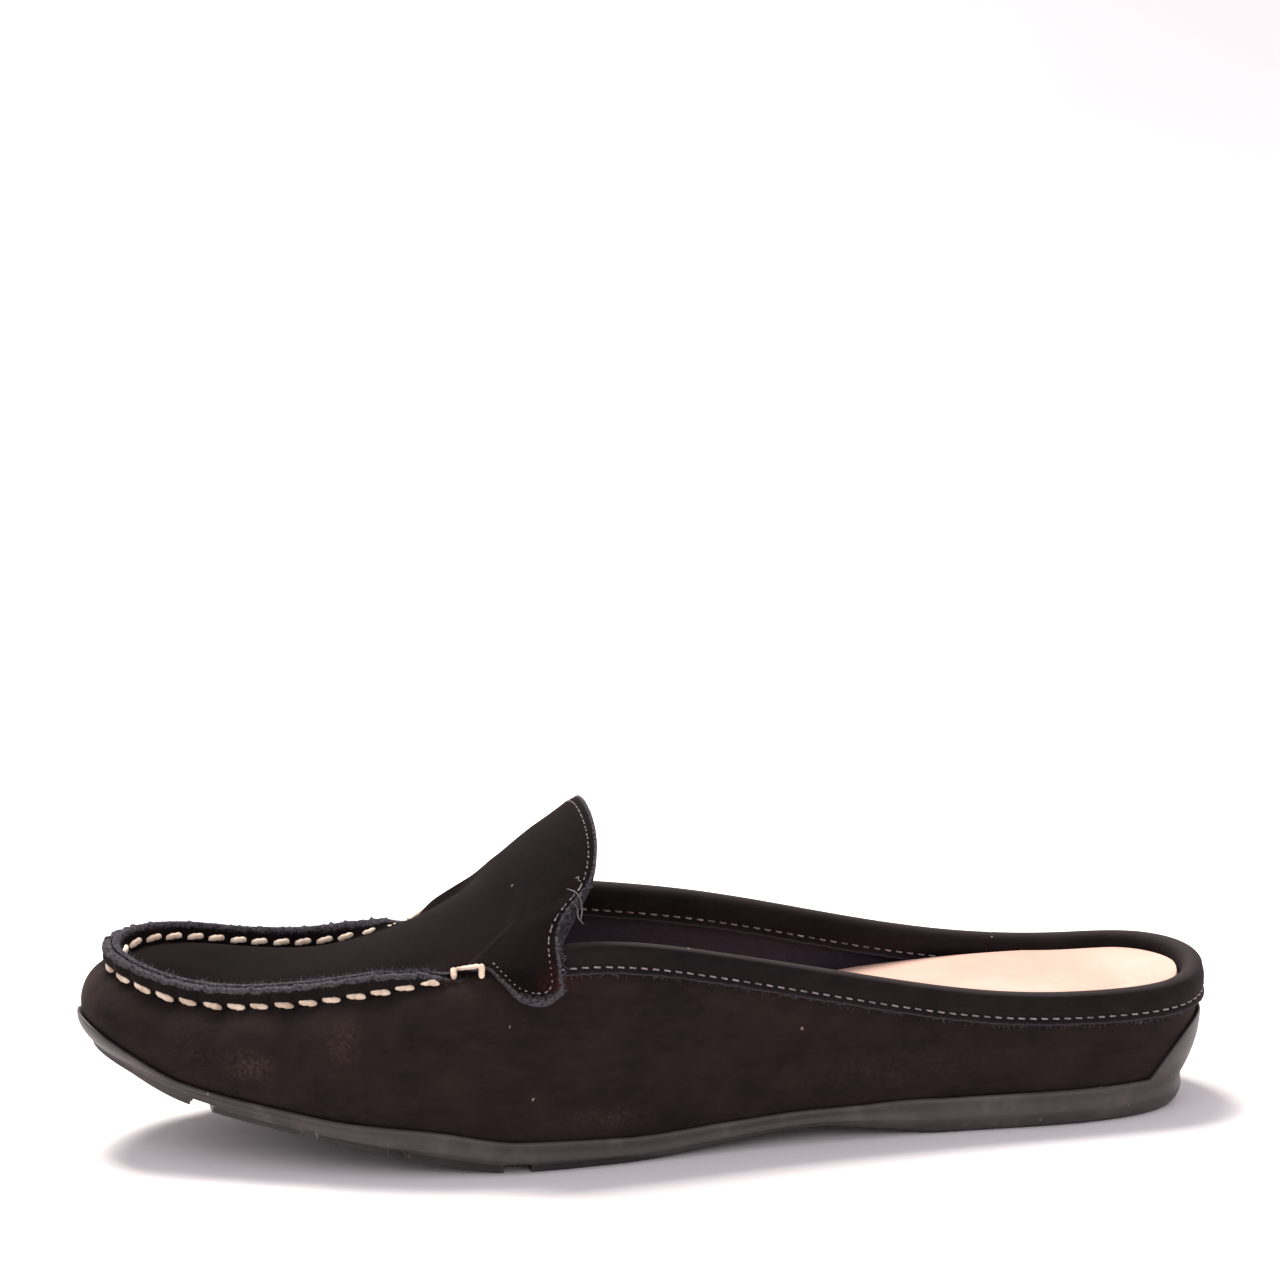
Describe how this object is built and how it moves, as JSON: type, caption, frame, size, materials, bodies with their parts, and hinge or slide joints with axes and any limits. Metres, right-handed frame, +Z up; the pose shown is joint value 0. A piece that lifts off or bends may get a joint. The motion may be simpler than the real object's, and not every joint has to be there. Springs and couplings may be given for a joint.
{
  "type": "loafer mule",
  "caption": "Left-foot backless moccasin loafer mule: gathered apron toe with a raised hand-sewn seam, tongue, bound low collar, footbed and moulded rubber driving sole.",
  "frame": {"origin": "middle of the shoe's box in plan, on the floor under the sole", "axes": "+X from heel to toe, +Y to the outer (little toe) side, +Z up"},
  "size_m": [0.257, 0.0832, 0.0736],
  "materials": {
    "nubuck": "brownish-black nubuck, matt, soft nap",
    "binding_suede": "black suede strip, raw lower edge",
    "footbed_leather": "pale pink-beige smooth lining leather",
    "sole_rubber": "dark grey-brown moulded rubber, satin"
  },
  "bodies": {
    "root": {"outsole": "sole_rubber", "upper": "nubuck", "apron_tongue": "nubuck", "collar_binding": "binding_suede", "insole": "footbed_leather"}
  },
  "joints": []
}
